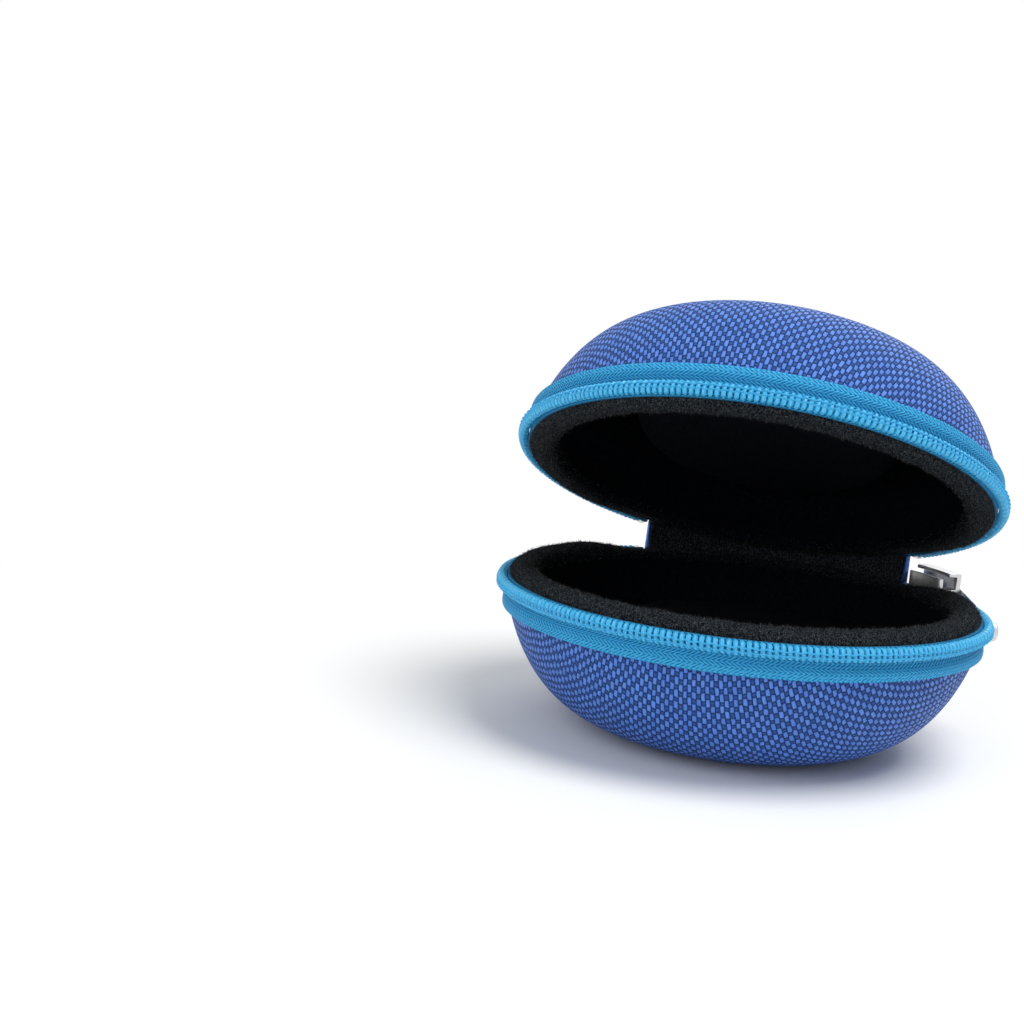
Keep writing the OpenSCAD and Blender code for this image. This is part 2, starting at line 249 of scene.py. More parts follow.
def dome_curve(c, inset, steps=DOME_STEPS, flat=True):
    """Points (radius, height) of one layer of the dome, from the tape's edge to the axis."""
    height = c.half_depth - inset + CROWN_RISE
    edge = 1 - (c.tape_w / height) ** DEPTH_POWER
    radius = (c.wall_r - inset) / edge ** (1 / WIDTH_POWER)
    first = asin((c.tape_w / height) ** (DEPTH_POWER / 2))
    points = []
    for i in range(steps + 1):
        t = first + (pi / 2 - first) * i / steps
        depth = height * sin(t) ** (2 / DEPTH_POWER)
        if flat:
            depth = min(depth, c.half_depth - inset)
        points.append((radius * cos(t) ** (2 / WIDTH_POWER) if i < steps else 0.0, -depth))
    return points


def arc(centre, radii, start, end, steps):
    """Points of an elliptical arc about centre, from one angle to another, in degrees."""
    return [
        (centre[0] + radii[0] * cos(radians(a)), centre[1] + radii[1] * sin(radians(a)))
        for a in (start + (end - start) * i / steps for i in range(steps + 1))
    ]


def running(points):
    """The distance along a profile at each of its points."""
    total, out = 0.0, [0.0]
    for a, b in zip(points, points[1:]):
        total += hypot(b[0] - a[0], b[1] - a[1])
        out.append(total)
    return out


def smooth(low, high, value):
    """0 below low, 1 above high, and a soft step between."""
    t = min(max((value - low) / (high - low), 0), 1)
    return t * t * (3 - 2 * t)


def rim_angle(co):
    """Degrees along the rim from the hinge, anticlockwise."""
    return (degrees(atan2(co.y, co.x)) - 90) % 360


# Meshes ------------------------------------------------------------------------------------------


def turned(profile, marks=None, start=0.0, sweep=360.0, steps=RIM_STEPS):
    """A closed profile of (radius, height) points spun about +Z from an angle along the rim. The
    layer named across keeps each point's mark, which is its distance along the profile."""
    bm = bmesh.new()
    across = bm.verts.layers.float.new("across")
    at_start = Matrix.Rotation(radians(start + 90), 3, "Z")
    verts = []
    for (r, z), mark in zip(profile, marks or running(profile)):
        vert = bm.verts.new(at_start @ Vector((r, 0, z)))
        vert[across] = mark
        verts.append(vert)
    edges = [bm.edges.new(pair) for pair in zip(verts, verts[1:] + verts[:1])]
    whole = sweep == 360
    bmesh.ops.spin(
        bm,
        geom=verts + edges,
        cent=(0, 0, 0),
        axis=(0, 0, 1),
        angle=radians(sweep),
        steps=steps,
        use_merge=whole,
    )
    bmesh.ops.remove_doubles(bm, verts=bm.verts, dist=1e-4)
    if not whole:
        bmesh.ops.holes_fill(bm, edges=[e for e in bm.edges if e.is_boundary], sides=0)
    bmesh.ops.recalc_face_normals(bm, faces=bm.faces)
    return bm


def on_rim(radius, angle, height):
    """The point at an angle along the rim from the hinge, in degrees."""
    a = radians(angle + 90)
    return Vector((radius * cos(a), radius * sin(a), height))


def lay_map(bm, place_of):
    """Gives each corner the place on the cloth, in metres, that place_of finds for its vertex."""
    across = bm.verts.layers.float["across"]
    uv = bm.loops.layers.uv.new("Cloth")
    for face in bm.faces:
        for loop in face.loops:
            u, v = place_of(loop.vert.co, loop.vert[across])
            loop[uv].uv = (u * MM, v * MM)


def along_cloth(radius, start=0):
    """The place on a band of cloth that runs along the rim from an angle on it."""
    return lambda co, across: (radians((rim_angle(co) - start) % 360) * radius, across)


def from_crown(co, across):
    """The place on a flat cloth that was pressed over the dome from its crown."""
    angle = atan2(co.y, co.x)
    return across * cos(angle), across * sin(angle)


def tube(points, radius, radii=None):
    """A bmesh of a wire with six sides through the points."""
    curve = bpy.data.curves.new("wire", "CURVE")
    curve.dimensions = "3D"
    curve.bevel_depth = radius
    curve.bevel_resolution = 1
    curve.use_fill_caps = True
    line = curve.splines.new("POLY")
    line.points.add(len(points) - 1)
    for i, (point, at) in enumerate(zip(line.points, points)):
        point.co = (*at, 1)
        point.radius = radii[i] if radii else 1
    wire = bpy.data.objects.new("wire", curve)
    mesh = bpy.data.meshes.new_from_object(wire)
    bm = bmesh.new()
    bm.from_mesh(mesh)
    bpy.data.objects.remove(wire)
    bpy.data.curves.remove(curve)
    bpy.data.meshes.remove(mesh)
    bmesh.ops.recalc_face_normals(bm, faces=bm.faces)
    return bm


def joined(parts):
    """Several bmeshes as one."""
    whole = bmesh.new()
    for part in parts:
        mesh = bpy.data.meshes.new("part")
        part.to_mesh(mesh)
        part.free()
        whole.from_mesh(mesh)
        bpy.data.meshes.remove(mesh)
    return whole


def piece(bm, label, place, material, body=None, stands_for=(), sharp=35):
    """Puts a bmesh in the row frame as a piece with its material or materials, which rides on a
    body."""
    bmesh.ops.transform(bm, matrix=place, verts=bm.verts)
    if place.determinant() < 0:
        bmesh.ops.reverse_faces(bm, faces=bm.faces)
    mesh = bpy.data.meshes.new(label)
    bm.to_mesh(mesh)
    bm.free()
    mesh.shade_smooth()
    mesh.set_sharp_from_angle(angle=radians(sharp))
    for name in material if isinstance(material, tuple) else (material,):
        mesh.materials.append(bpy.data.materials[name])
    obj = bpy.data.objects.new(label, mesh)
    bpy.context.scene.collection.objects.link(obj)
    if body:
        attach(obj, body)
    if stands_for:
        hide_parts(*stands_for)
    return obj


def half_piece(c, half, bm, label, node, material, sharp=35):
    """Puts a bmesh of one half in the row frame as a piece that stands for the half's node."""
    name, stands_for = f"{half}_{label}", [f"{half}_{node}"]
    return piece(bm, name, c.place[half], material, half, stands_for, sharp)


# Shader nodes ------------------------------------------------------------------------------------


class Tree:
    """Places nodes in a shader tree, with short calls for what is used often."""

    def __init__(self, tree):
        self.tree = tree

    def node(self, kind, inputs=(), **settings):
        made = self.tree.nodes.new(kind)
        for key, value in settings.items():
            setattr(made, key, value)
        for key, value in dict(inputs).items():
            self.put(made.inputs[key], value)
        return made

    def put(self, socket, value):
        if isinstance(value, bpy.types.NodeSocket):
            self.tree.links.new(value, socket)
        else:
            socket.default_value = value

    def fill(self, made, **inputs):
        """Sets a node's inputs, whose names have underscores here where they have spaces."""
        for key, value in inputs.items():
            self.put(made.inputs[key.replace("_", " ")], value)

    def math(self, operation, a, b=0.0, clamp=False):
        inputs = {0: a, 1: b}
        return self.node("ShaderNodeMath", inputs, operation=operation, use_clamp=clamp).outputs[0]

    def plus(self, a, b):
        return self.math("ADD", a, b)

    def minus(self, a, b, clamp=False):
        return self.math("SUBTRACT", a, b, clamp)

    def times(self, a, b, clamp=False):
        return self.math("MULTIPLY", a, b, clamp)

    def over(self, a, b):
        return self.math("DIVIDE", a, b)

    def ramp(self, value, low, high, ends=(0.0, 1.0), **settings):
        """ends[0] where the value is low, ends[1] where it is high, and a clamped run between."""
        inputs = {"Value": value, "From Min": low, "From Max": high}
        inputs.update({"To Min": ends[0], "To Max": ends[1]})
        return self.node("ShaderNodeMapRange", inputs, **settings).outputs[0]

    def mix(self, share, low, high):
        inputs = {"Factor": share, 6: low, 7: high}
        return self.node("ShaderNodeMix", inputs, data_type="RGBA").outputs[2]

    def solid_place(self):
        return self.node("ShaderNodeTexCoord").outputs["Object"]

    def cloth_place(self):
        return self.node("ShaderNodeUVMap", uv_map="Cloth").outputs[0]

    def mapped(self, place, scale, rotation):
        inputs = {"Vector": place, "Scale": scale, "Rotation": rotation}
        return self.node("ShaderNodeMapping", inputs).outputs[0]

    def seen(self):
        """1 for what the camera and reflections see, and 0 for the light that the case gets."""
        rays = self.node("ShaderNodeLightPath").outputs
        return self.math("MAXIMUM", rays["Is Camera Ray"], rays["Is Glossy Ray"])

    def show(self, output, share, low, high):
        """Leads a mix of two shaders to the tree's output."""
        mixed = self.node("ShaderNodeMixShader", {0: share, 1: low.outputs[0], 2: high.outputs[0]})
        self.put(self.tree.nodes[output].inputs["Surface"], mixed.outputs[0])

    def blur(self, place, scale, detail=2.0, roughness=0.5):
        inputs = {"Vector": place, "Scale": scale, "Detail": detail, "Roughness": roughness}
        return self.node("ShaderNodeTexNoise", inputs).outputs["Fac"]

    def scaled(self, place, factor):
        made = self.node("ShaderNodeVectorMath", {0: place}, operation="SCALE")
        self.put(made.inputs["Scale"], factor)
        return made.outputs[0]


def group(name, inputs, outputs):
    """An empty node group with named sockets, of which Place is a vector, its Tree, its input
    sockets and the sockets of its output."""
    made = bpy.data.node_groups.new(name, "ShaderNodeTree")
    for way, labels in (("INPUT", inputs), ("OUTPUT", outputs)):
        for label in labels:
            kind = "NodeSocketVector" if label == "Place" else "NodeSocketFloat"
            made.interface.new_socket(label, in_out=way, socket_type=kind)
    tree = Tree(made)
    return tree, tree.node("NodeGroupInput").outputs, tree.node("NodeGroupOutput").inputs


def woven_group():
    """Plain weave of flat yarns: the height, where the warp is on top, and the fine filaments."""
    inputs, outputs = ("Place", "Warp pitch", "Weft pitch"), ("Height", "Warp", "Shade")
    t, given, out = group("Plain weave", inputs, outputs)
    wander = t.times(t.minus(t.blur(given["Place"], 380.0, 1.0), 0.5), 0.5)
    xyz = t.node("ShaderNodeSeparateXYZ", {0: given["Place"]}).outputs
    u = t.plus(t.over(xyz[0], given["Warp pitch"]), wander)
    v = t.plus(t.over(xyz[1], t.times(given["Weft pitch"], 2.0)), wander)
    column = t.math("FLOOR", u)
    along = t.plus(v, t.times(column, 0.5))
    row = t.math("FLOOR", along)
    # side and end run from -1 to 1 over one float of warp, and past it lies a crossing weft yarn
    side = t.minus(t.times(t.minus(u, column), 2.0), 1.0)
    end = t.over(t.minus(t.minus(along, row), 0.5), FLOAT_SHARE / 2)
    far = t.math("ABSOLUTE", end)
    warp = t.ramp(far, 1.06, 0.88)
    flank = t.minus(1.0, t.math("POWER", t.math("ABSOLUTE", side), 6.0), clamp=True)
    crest = t.minus(1.0, t.times(t.math("POWER", far, 4.0), 0.35), clamp=True)
    raised = t.times(t.times(flank, crest), warp)
    # off runs from 0 on the weft yarn's middle to 1 at the float's end
    off = t.over(t.minus(1 / FLOAT_SHARE, far), 1 / FLOAT_SHARE - 1)
    bow = t.minus(1.0, t.times(t.times(off, off), 0.55), clamp=True)
    sunk = t.minus(1.0, t.times(t.times(side, side), 0.45))
    lower = t.times(t.times(bow, sunk), 0.5)
    height = t.math("MAXIMUM", raised, t.times(lower, t.minus(1.0, warp)))
    warp_lines = t.times(t.math("SINE", t.times(side, 15.0)), warp)
    weft_lines = t.times(t.math("SINE", t.times(off, 15.0)), t.minus(1.0, warp))
    lines = t.plus(warp_lines, weft_lines)
    seed = t.node("ShaderNodeCombineXYZ", {0: column, 1: row}).outputs[0]
    chance = t.node("ShaderNodeTexWhiteNoise", {"Vector": seed}).outputs["Value"]
    t.put(out["Height"], t.plus(height, t.times(lines, 0.035)))
    t.put(out["Warp"], warp)
    # Shade sets the strength of the painted highlight on the floats: the filaments' lines and a random share
    # for each float.
    t.put(out["Shade"], t.plus(t.times(lines, 0.25), t.times(chance, 0.35)))


def herringbone_group():
    """Twill whose slanting ribs turn back at each band: the ribs' height and a slow unevenness."""
    t, given, out = group("Herringbone twill", ("Place", "Rib pitch", "Band"), ("Height", "Shade"))
    xyz = t.node("ShaderNodeSeparateXYZ", {0: given["Place"]}).outputs
    band = t.over(xyz[1], given["Band"])
    turned_back = t.times(t.math("ABSOLUTE", t.minus(t.math("FRACT", band), 0.5)), 2.0)
    slant = t.times(t.times(turned_back, given["Band"]), 0.8)
    ribs = t.over(t.plus(xyz[0], slant), given["Rib pitch"])
    rib = t.math("ABSOLUTE", t.math("SINE", t.times(ribs, pi)))
    stitches = t.times(t.over(xyz[1], given["Rib pitch"]), 1.5 * tau)
    crossing = t.plus(0.5, t.times(t.math("SINE", stitches), 0.5))
    uneven = t.blur(given["Place"], 1500.0, 2.0)
    height = t.plus(t.times(rib, 0.7), t.times(crossing, 0.3))
    t.put(out["Height"], height)
    # Shade follows the ribs' height, for painted shade between them, with a slow random unevenness of tone.
    t.put(out["Shade"], t.plus(t.times(uneven, 0.4), t.times(height, 0.8)))


def nap_group():
    """Brushed fleece: tangled short fibres over a lumpy ground."""
    t, given, out = group("Fleece nap", ("Place", "Scale"), ("Height", "Tips"))
    place = t.scaled(given["Place"], given["Scale"])
    lumps = t.blur(place, 0.9, 3.0, 0.6)
    stretched = t.mapped(place, (1.0, 3.2, 1.0), (0.4, 0.7, 0.9))
    fibres = t.blur(stretched, 3.0, 4.0, 0.7)
    other = t.mapped(place, (3.4, 1.0, 1.0), (0.9, 0.2, 0.3))
    crossed = t.blur(other, 2.6, 4.0, 0.7)
    mixed = t.math("MAXIMUM", fibres, crossed)
    tips = t.ramp(mixed, 0.5, 0.72)
    t.put(out["Height"], t.plus(t.times(lumps, 0.6), t.times(mixed, 0.6)))
    t.put(out["Tips"], tips)


def scuff_group():
    """Fine handling marks for plastic and metal."""
    t, given, out = group("Handling marks", ("Place", "Scale"), ("Marks", "Grain"))
    place = t.scaled(given["Place"], given["Scale"])
    long = t.mapped(place, (1.0, 9.0, 1.0), (0.2, 0.5, 0.8))
    t.put(out["Marks"], t.blur(long, 1.6, 5.0, 0.75))
    t.put(out["Grain"], t.blur(place, 3.0, 3.0, 0.6))


def material(name):
    """The Tree and the Principled shader of a new material."""
    made = bpy.data.materials.new(name)
    made.use_nodes = True
    return Tree(made.node_tree), made.node_tree.nodes["Principled BSDF"]


def place_group(t, name, **values):
    """Puts a node group into a tree and gives its outputs."""
    made = t.node("ShaderNodeGroup", node_tree=bpy.data.node_groups[name])
    t.fill(made, **values)
    return made.outputs


def bump(t, shader, height, strength, distance):
    """Raises the surface with the height, by a distance in millimetres."""
    inputs = {"Strength": strength, "Distance": distance * MM, "Height": height}
    t.put(shader.inputs["Normal"], t.node("ShaderNodeBump", inputs).outputs[0])


def four(colour, share=1.0):
    """A colour as a socket takes it, dimmed to a share."""
    return (*(share * x for x in colour), 1.0)


def nylon_material(sizes, colours):
    t, shader = material("Woven nylon")
    pitches = {"Warp_pitch": sizes.warp_pitch, "Weft_pitch": sizes.weft_pitch}
    weave = place_group(t, "Plain weave", Place=t.cloth_place(), **pitches)
    # The weft's darker colour is painted shade on the lower yarns, which are the same nylon as the warp.
    yarns = t.mix(weave["Warp"], four(colours.weft), four(colours.warp))
    # Painted shade in the gaps, where the weave lies low.
    ground = t.mix(t.ramp(weave["Height"], 0.15, 0.58), four(colours.nylon_gap_shade), yarns)
    # Painted highlight on the crests of the warp floats, stronger or weaker with the filaments and at random
    # for each float.
    top = t.ramp(weave["Height"], 0.55, 0.95)
    gleam = t.times(top, t.plus(weave["Shade"], 0.28), clamp=True)
    t.fill(
        shader,
        Base_Color=t.mix(gleam, ground, four(colours.warp_highlight)),
        Roughness=t.minus(0.6, t.times(top, 0.14)),
        Specular_IOR_Level=0.14,
    )
    bump(t, shader, weave["Height"], 1.0, 0.42)


def tape_material(sizes, colours):
    t, shader = material("Zip tape")
    ribs = {"Rib_pitch": sizes.rib_pitch, "Band": sizes.rib_band}
    twill = place_group(t, "Herringbone twill", Place=t.cloth_place(), **ribs)
    # Painted shade between the ribs, which also follows the slow unevenness of tone.
    share = t.ramp(twill["Shade"], 0.35, 0.85)
    t.fill(
        shader,
        Base_Color=t.mix(share, four(colours.tape_gap_shade), four(colours.tape)),
        Roughness=t.minus(0.78, t.times(twill["Height"], 0.12)),
        Specular_IOR_Level=0.3,
    )
    bump(t, shader, twill["Height"], 1.0, 0.28)


def coil_material(name, colour, roughness):
    t, shader = material(name)
    marks = place_group(t, "Handling marks", Place=t.solid_place(), Scale=900.0)
    t.fill(
        shader,
        Base_Color=t.mix(marks["Grain"], four(colour, 0.72), four(colour)),
        Roughness=t.plus(roughness, t.times(marks["Marks"], 0.2)),
        Subsurface_Weight=0.08,
        Subsurface_Radius=(0.3, 0.6, 1.0),
        Subsurface_Scale=0.4 * MM,
    )
    bump(t, shader, marks["Grain"], 0.3, 0.05)


def fleece_material(colours):
    """Fleece whose light nap tips on the rolled lip fade further in to a dark painted shade."""
    t, shader = material("Fleece")
    nap = place_group(t, "Fleece nap", Place=t.solid_place(), Scale=NAP_SCALE)
    inward = t.node("ShaderNodeSeparateXYZ", {0: t.cloth_place()}).outputs[1]
    # The nap's light tips fade inward from the lip to a faint share, as painted shade of the case's inside.
    low, high = LIT_TO_SHADED[0] * MM, LIT_TO_SHADED[1] * MM
    brushed_and_lit = t.ramp(inward, low, high, (1.0, 0.12), interpolation_type="SMOOTHSTEP")
    share = t.times(nap["Tips"], brushed_and_lit)
    t.fill(
        shader,
        Base_Color=t.mix(share, four(colours.fleece), four(colours.fleece_nap)),
        Roughness=t.minus(1.0, t.times(share, 0.1)),
        Specular_IOR_Level=0.03,
    )
    bump(t, shader, nap["Height"], 1.0, 0.7)


def fibre_material(colours):
    t, shader = material("Fleece fibre")
    nap = place_group(t, "Fleece nap", Place=t.solid_place(), Scale=NAP_SCALE)
    t.fill(
        shader,
        Base_Color=t.mix(nap["Tips"], four(colours.fleece_fibre, 0.3), four(colours.fleece_fibre)),
        Roughness=0.9,
        Specular_IOR_Level=0.05,
    )


def foam_material(colours):
    t, shader = material("Moulded foam")
    cells = t.node("ShaderNodeTexVoronoi", {"Vector": t.solid_place(), "Scale": 2500.0})
    depth = cells.outputs["Distance"]
    colour = t.mix(depth, four(colours.foam), four(colours.foam, 0.5))
    t.fill(shader, Base_Color=colour, Roughness=0.95)
    bump(t, shader, depth, 0.5, 0.2)


def metal_material(colours):
    t, shader = material("Plated zinc")
    marks = place_group(t, "Handling marks", Place=t.solid_place(), Scale=700.0)
    t.fill(
        shader,
        Base_Color=t.mix(marks["Grain"], four(colours.metal, 0.8), four(colours.metal)),
        Metallic=1.0,
        Roughness=t.plus(0.16, t.times(marks["Marks"], 0.28)),
    )
    bump(t, shader, marks["Marks"], 0.25, 0.03)


def floor_material(colours):
    """A pale floor that keeps the shadow near the case and turns to the white of the backdrop away
    from it."""
    t, shader = material("Pale floor")
    place = t.solid_place()
    t.fill(
        shader,
        Base_Color=t.mix(t.blur(place, 6.0, 3.0), four(colours.floor, 0.985), four(colours.floor)),
        Roughness=0.7,
        Specular_IOR_Level=0.1,
    )
    ends = {0: place, 1: FADE_MIDDLE}
    away = t.node("ShaderNodeVectorMath", ends, operation="DISTANCE").outputs["Value"]
    share = t.ramp(away, FADE_FROM, FADE_TO, interpolation_type="SMOOTHSTEP")
    white = t.node("ShaderNodeEmission", {"Color": WHITE, "Strength": 1.0})
    t.show("Material Output", t.times(share, t.seen()), shader, white)


# The pieces --------------------------------------------------------------------------------------

class CASE_OT_materials(bpy.types.Operator):
    """Make the shader groups and the materials of the cloth, fleece, foam, zip and floor"""

    bl_idname = "case.materials"
    bl_label = "Materials"

    def execute(self, context):
        sizes, colours = context.scene.case_sizes, context.scene.case_colours
        for make in (woven_group, herringbone_group, nap_group, scuff_group):
            make()
        nylon_material(sizes, colours)
        tape_material(sizes, colours)
        coil_material("Coil nylon", colours.coil, 0.3)
        coil_material("Thread", colours.tape, 0.6)
        fleece_material(colours)
        fibre_material(colours)
        foam_material(colours)
        metal_material(colours)
        floor_material(colours)
        return {"FINISHED"}


class CASE_OT_shells(bpy.types.Operator):
    """Press the nylon over both domes"""

    bl_idname = "case.shells"
    bl_label = "Nylon shells"

    def execute(self, context):
        c = case(context)
        for half in HALVES:
            outer = [(c.wall_r, -GROOVE_DEPTH)] + dome_curve(c, 0, flat=half == "base")
            inner = [(c.wall_r - COVER_T, -GROOVE_DEPTH)] + dome_curve(c, COVER_T)
            length = running(outer)
            from_axis = [length[-1] - s for s in length]
            bm = turned(outer + inner[::-1], from_axis + from_axis[::-1])
            lay_map(bm, from_crown)
            half_piece(c, half, bm, "nylon", "cover", "Woven nylon")
        return {"FINISHED"}


class CASE_OT_padding(bpy.types.Operator):
    """Mould the foam between the nylon and the fleece"""

    bl_idname = "case.padding"
    bl_label = "Foam padding"

    def execute(self, context):
        c = case(context)
        for half in HALVES:
            outer = [(c.wall_r - COVER_T, -GROOVE_DEPTH)] + dome_curve(c, COVER_T, 20)
            inner = [(LIP_R, -GROOVE_DEPTH), (LIP_R - 1, -FOAM_TOP)]
            inner += [(c.wall_r - c.foam_in, -FOAM_TOP)] + dome_curve(c, c.foam_in, 20)
            bm = turned(outer + inner[::-1], steps=96)
            pad = half_piece(c, half, bm, "padding", "foam", "Moulded foam")
        return {"FINISHED"}


def lip_profile(c, rise):
    """The closed section of a lining: the lip that rolls over the rim, the wall, the dome and
    the side that lies on the foam."""
    swell = c.wall_r + 0.1
    middle, reach = (swell + c.inside_r) / 2, (swell - c.inside_r) / 2
    foot, low = -GROOVE_DEPTH + 0.2, -FOAM_TOP + 0.1
    seen = [(LIP_R, foot), (LIP_R + 0.1, -3.4), (LIP_R + 1.0, -2.5), (swell - 0.25, -1.6)]
    seen += arc((middle, -LIP_FOOT), (reach, rise + LIP_FOOT), 0, 180, 22)
    seen += [(c.inside_r, WALL_TOP - (c.tape_w + WALL_TOP) * i / 5) for i in range(5)]
    seen += dome_curve(c, c.lining_in, 40)
    back = [(LIP_R - 1, foot), (LIP_R - 1, low), (c.wall_r - c.foam_in, low)]
    back += dome_curve(c, c.foam_in, 20)
    return seen + back[::-1]


def settle_lip(c, bm):
    """Presses the soft lip flat where the hinge and the slider are, and lets it waver."""
    for vert in bm.verts:
        from_hinge = min(rim_angle(vert.co), 360 - rim_angle(vert.co))
        flatter = 1 - smooth(*LIP_RISES, from_hinge)
        vert.co.z -= max(vert.co.z + LIP_FOOT, 0) * flatter
        out = vert.co.xy.length
        if out > LIP_R:
            vert.co.xy *= (out - (out - LIP_R) * flatter) / out
        waver = noise.noise(vert.co * 0.35) * 0.22 + noise.noise(vert.co * 1.1) * 0.12
        if vert.co.z > -GROOVE_DEPTH + 0.3 and vert.co.xy.length > c.inside_r - 0.2:
            vert.co.z += waver


def add_nap(bm, count, length, seed, keep, finish=0):
    """Adds thin fibres, with the piece's material of that number, to the faces that keep
    chooses."""
    draw = Random(seed)
    across = bm.verts.layers.float["across"]
    faces = [f for f in bm.faces if keep(f)]
    weights, total = [], 0.0
    for face in faces:
        total += face.calc_area()
        weights.append(total)
    for face in draw.choices(faces, cum_weights=weights, k=count):
        corners = [v.co for v in face.verts]
        a, b = draw.random(), draw.random()
        low = corners[0].lerp(corners[1], a)
        high = corners[-1].lerp(corners[-2], a)
        root = low.lerp(high, b)
        lean = Vector((draw.uniform(-1, 1), draw.uniform(-1, 1), draw.uniform(-1, 1)))
        grow = (face.normal * 0.7 + lean * 0.85).normalized()
        side = grow.cross(face.normal).normalized() * draw.uniform(0.03, 0.07)
        tip = root + grow * length * draw.uniform(0.3, 1.0) ** 1.5
        foot = root - face.normal * 0.05
        fibre = [bm.verts.new(p) for p in (foot - side, foot + side, tip)]
        for vert in fibre:
            vert[across] = face.verts[0][across]
        bm.faces.new(fibre).material_index = finish


class CASE_OT_linings(bpy.types.Operator):
    """Line both halves with fleece, rolled over a soft lip at the rim"""

    bl_idname = "case.linings"
    bl_label = "Fleece linings"

    def execute(self, context):
        c = case(context)

        def on_lip(face):
            at = face.calc_center_median()
            return at.xy.length > c.inside_r - 0.4 and at.z > -2.6

        for half in HALVES:
            profile = lip_profile(c, c.lip_rise[half])
            # The lid's marks start further on, so the painted shade of its inside begins nearer the lip.
            marks = [s + SHADE_SOONER[half] for s in running(profile)]
            bm = turned(profile, marks, steps=360)
            settle_lip(c, bm)
            bm.normal_update()
            add_nap(bm, LIP_FIBRES, c.nap_l, SEEDS[half][0], on_lip)
            add_nap(bm, LOOSE_FIBRES, c.nap_l, SEEDS[half][1], on_lip, 1)
            lay_map(bm, along_cloth(c.inside_r))
            cloth = ("Fleece", "Fleece fibre")
            obj = half_piece(c, half, bm, "fleece", "lining", cloth, 60)
        return {"FINISHED"}


class CASE_OT_cushions(bpy.types.Operator):
    """Cover the raised round cushions with fleece"""

    bl_idname = "case.cushions"
    bl_label = "Cushions"

    def execute(self, context):
        c = case(context)
        radius, edge, crown = CUSHION_D / 2, CUSHION_EDGE, 0.7
        floor = [p for p in dome_curve(c, c.lining_in, 40) if p[0] < radius - 1.2]
        foot = floor[0][1]
        face = [(0.0, -CUSHION_DEPTH + crown)]
        for r in (6, 11, 15, 18, 20.5):
            face.append((r, -CUSHION_DEPTH + crown * (1 - (r / (radius - edge)) ** 2)))
        face += arc((radius - edge, -CUSHION_DEPTH - edge), (edge, edge), 90, 0, 12)
        face += [(radius - 0.15, -CUSHION_DEPTH - edge - 3)]
        face += [(radius - 0.7, foot + 2.2), (radius - 1.4, foot + 0.4)]
        profile = face + [(r, z + 0.15) for r, z in floor]
        # The cushions' marks start where the painted shade is full, so their fleece is dark all over.
        marks = [LIT_TO_SHADED[1] + s for s in running(profile)]

        def raised(face):
            return face.normal.z > -0.2 and face.calc_center_median().z > foot + 1

        for half in HALVES:
            bm = turned(profile, marks, steps=160)
            for vert in bm.verts:
                if vert.co.z > foot + 1:
                    vert.co.z += noise.noise(vert.co * 0.16) * 0.35
            bm.normal_update()
            add_nap(bm, CUSHION_FIBRES, 0.7 * c.nap_l, SEEDS[half][2], raised)
            lay_map(bm, along_cloth(radius))
            pad = half_piece(c, half, bm, "pad", "cushion", "Fleece", 60)
        return {"FINISHED"}


def tape_profile(c):
    """The tape's closed section: the free edge under the coil, the groove, the padded swell and
    the folded edge that ends in a step over the nylon."""
    groove = c.coil_end + 0.75
    swell = c.tape_r + c.tape_swell
    low = c.tape_w - groove
    bottom = c.tape_r - TAPE_GROOVE
    section = [(c.tape_r, -COIL_GAP), (c.tape_r, -c.coil_end + 0.2), (bottom, -groove)]
    for i in range(1, 11):
        f = i / 10
        out = sin(pi / 2 * min(f * 1.5, 1)) ** 1.3
        section.append((bottom + (c.tape_swell + TAPE_GROOVE) * out, -groove - low * f))
    section += arc((swell - 0.45, -c.tape_w), (0.45, 0.35), -15, -90, 5)
    section += [(c.wall_r + 0.02, -c.tape_w - 0.3), (c.wall_r, -c.tape_w + 0.4)]
    return section + [(c.wall_r, -COIL_GAP)]


def coil_line(c, start, sweep):
    """Points and widths of the wound wire along part of the rim, and the two rows of thread."""
    turns = round(radians(sweep) * c.out_r / c.coil_pitch)
    step = sweep / turns
    inner, outer = c.tape_r + c.wire_r, c.out_r - c.wire_r
    top, tail = -COIL_GAP - c.wire_r, -c.coil_end + c.wire_r
    # radius, height, advance along the rim in turns, width of the wire
    loop = (
        (outer - 0.25, top + 0.08, 0.0, 1.16),
        (outer, top - 0.35, 0.0, 1.1),
        (outer, (top + tail) / 2, 0.02, 0.98),
        (outer, tail + 0.4, 0.06, 0.98),
        (outer - 0.3, tail + 0.02, 0.16, 1.06),
        ((inner + outer) / 2, tail - 0.1, 0.3, 0.98),
        (inner + 0.1, tail + 0.1, 0.42, 0.86),
        (inner, (top + tail) / 2, 0.55, 0.86),
        (inner + 0.1, top - 0.1, 0.72, 0.9),
        ((inner + outer) / 2, top + 0.16, 0.92, 1.14),
    )
    wire, widths = [], []
    for i in range(turns):
        for radius, height, advance, width in loop:
            wire.append(on_rim(radius, start + step * (i + advance * 0.999), height))
            widths.append(width)
    rows = []
    for row, below in enumerate(THREAD_ROWS):
        line = []
        for i in range(4 * turns + 1):
            radius = c.out_r - c.thread_r * 1.05 + 0.2 * cos(tau * i / 4)
            height = -COIL_GAP - below + 0.1 * sin(pi * i / 4 + row)
            line.append(on_rim(radius, start + step * i / 4, height))
        rows.append(line)
    return wire, widths, rows


def seam_marks(c, start, sweep):
    """The stitches that sew the tape's edge to the nylon."""
    radius = c.tape_r + c.tape_swell - 0.06
    pitch = degrees(SEAM_PITCH / radius)
    parts = []
    for i in range(int(sweep / pitch)):
        line = []
        for k in range(5):
            sunk = radius - 0.14 * (abs(k - 2) / 2) ** 2
            line.append(on_rim(sunk, start + pitch * (i + 0.15 + 0.175 * k), -c.tape_w + SEAM_IN))
        parts.append(tube(line, c.thread_r * 0.8))
    return joined(parts)


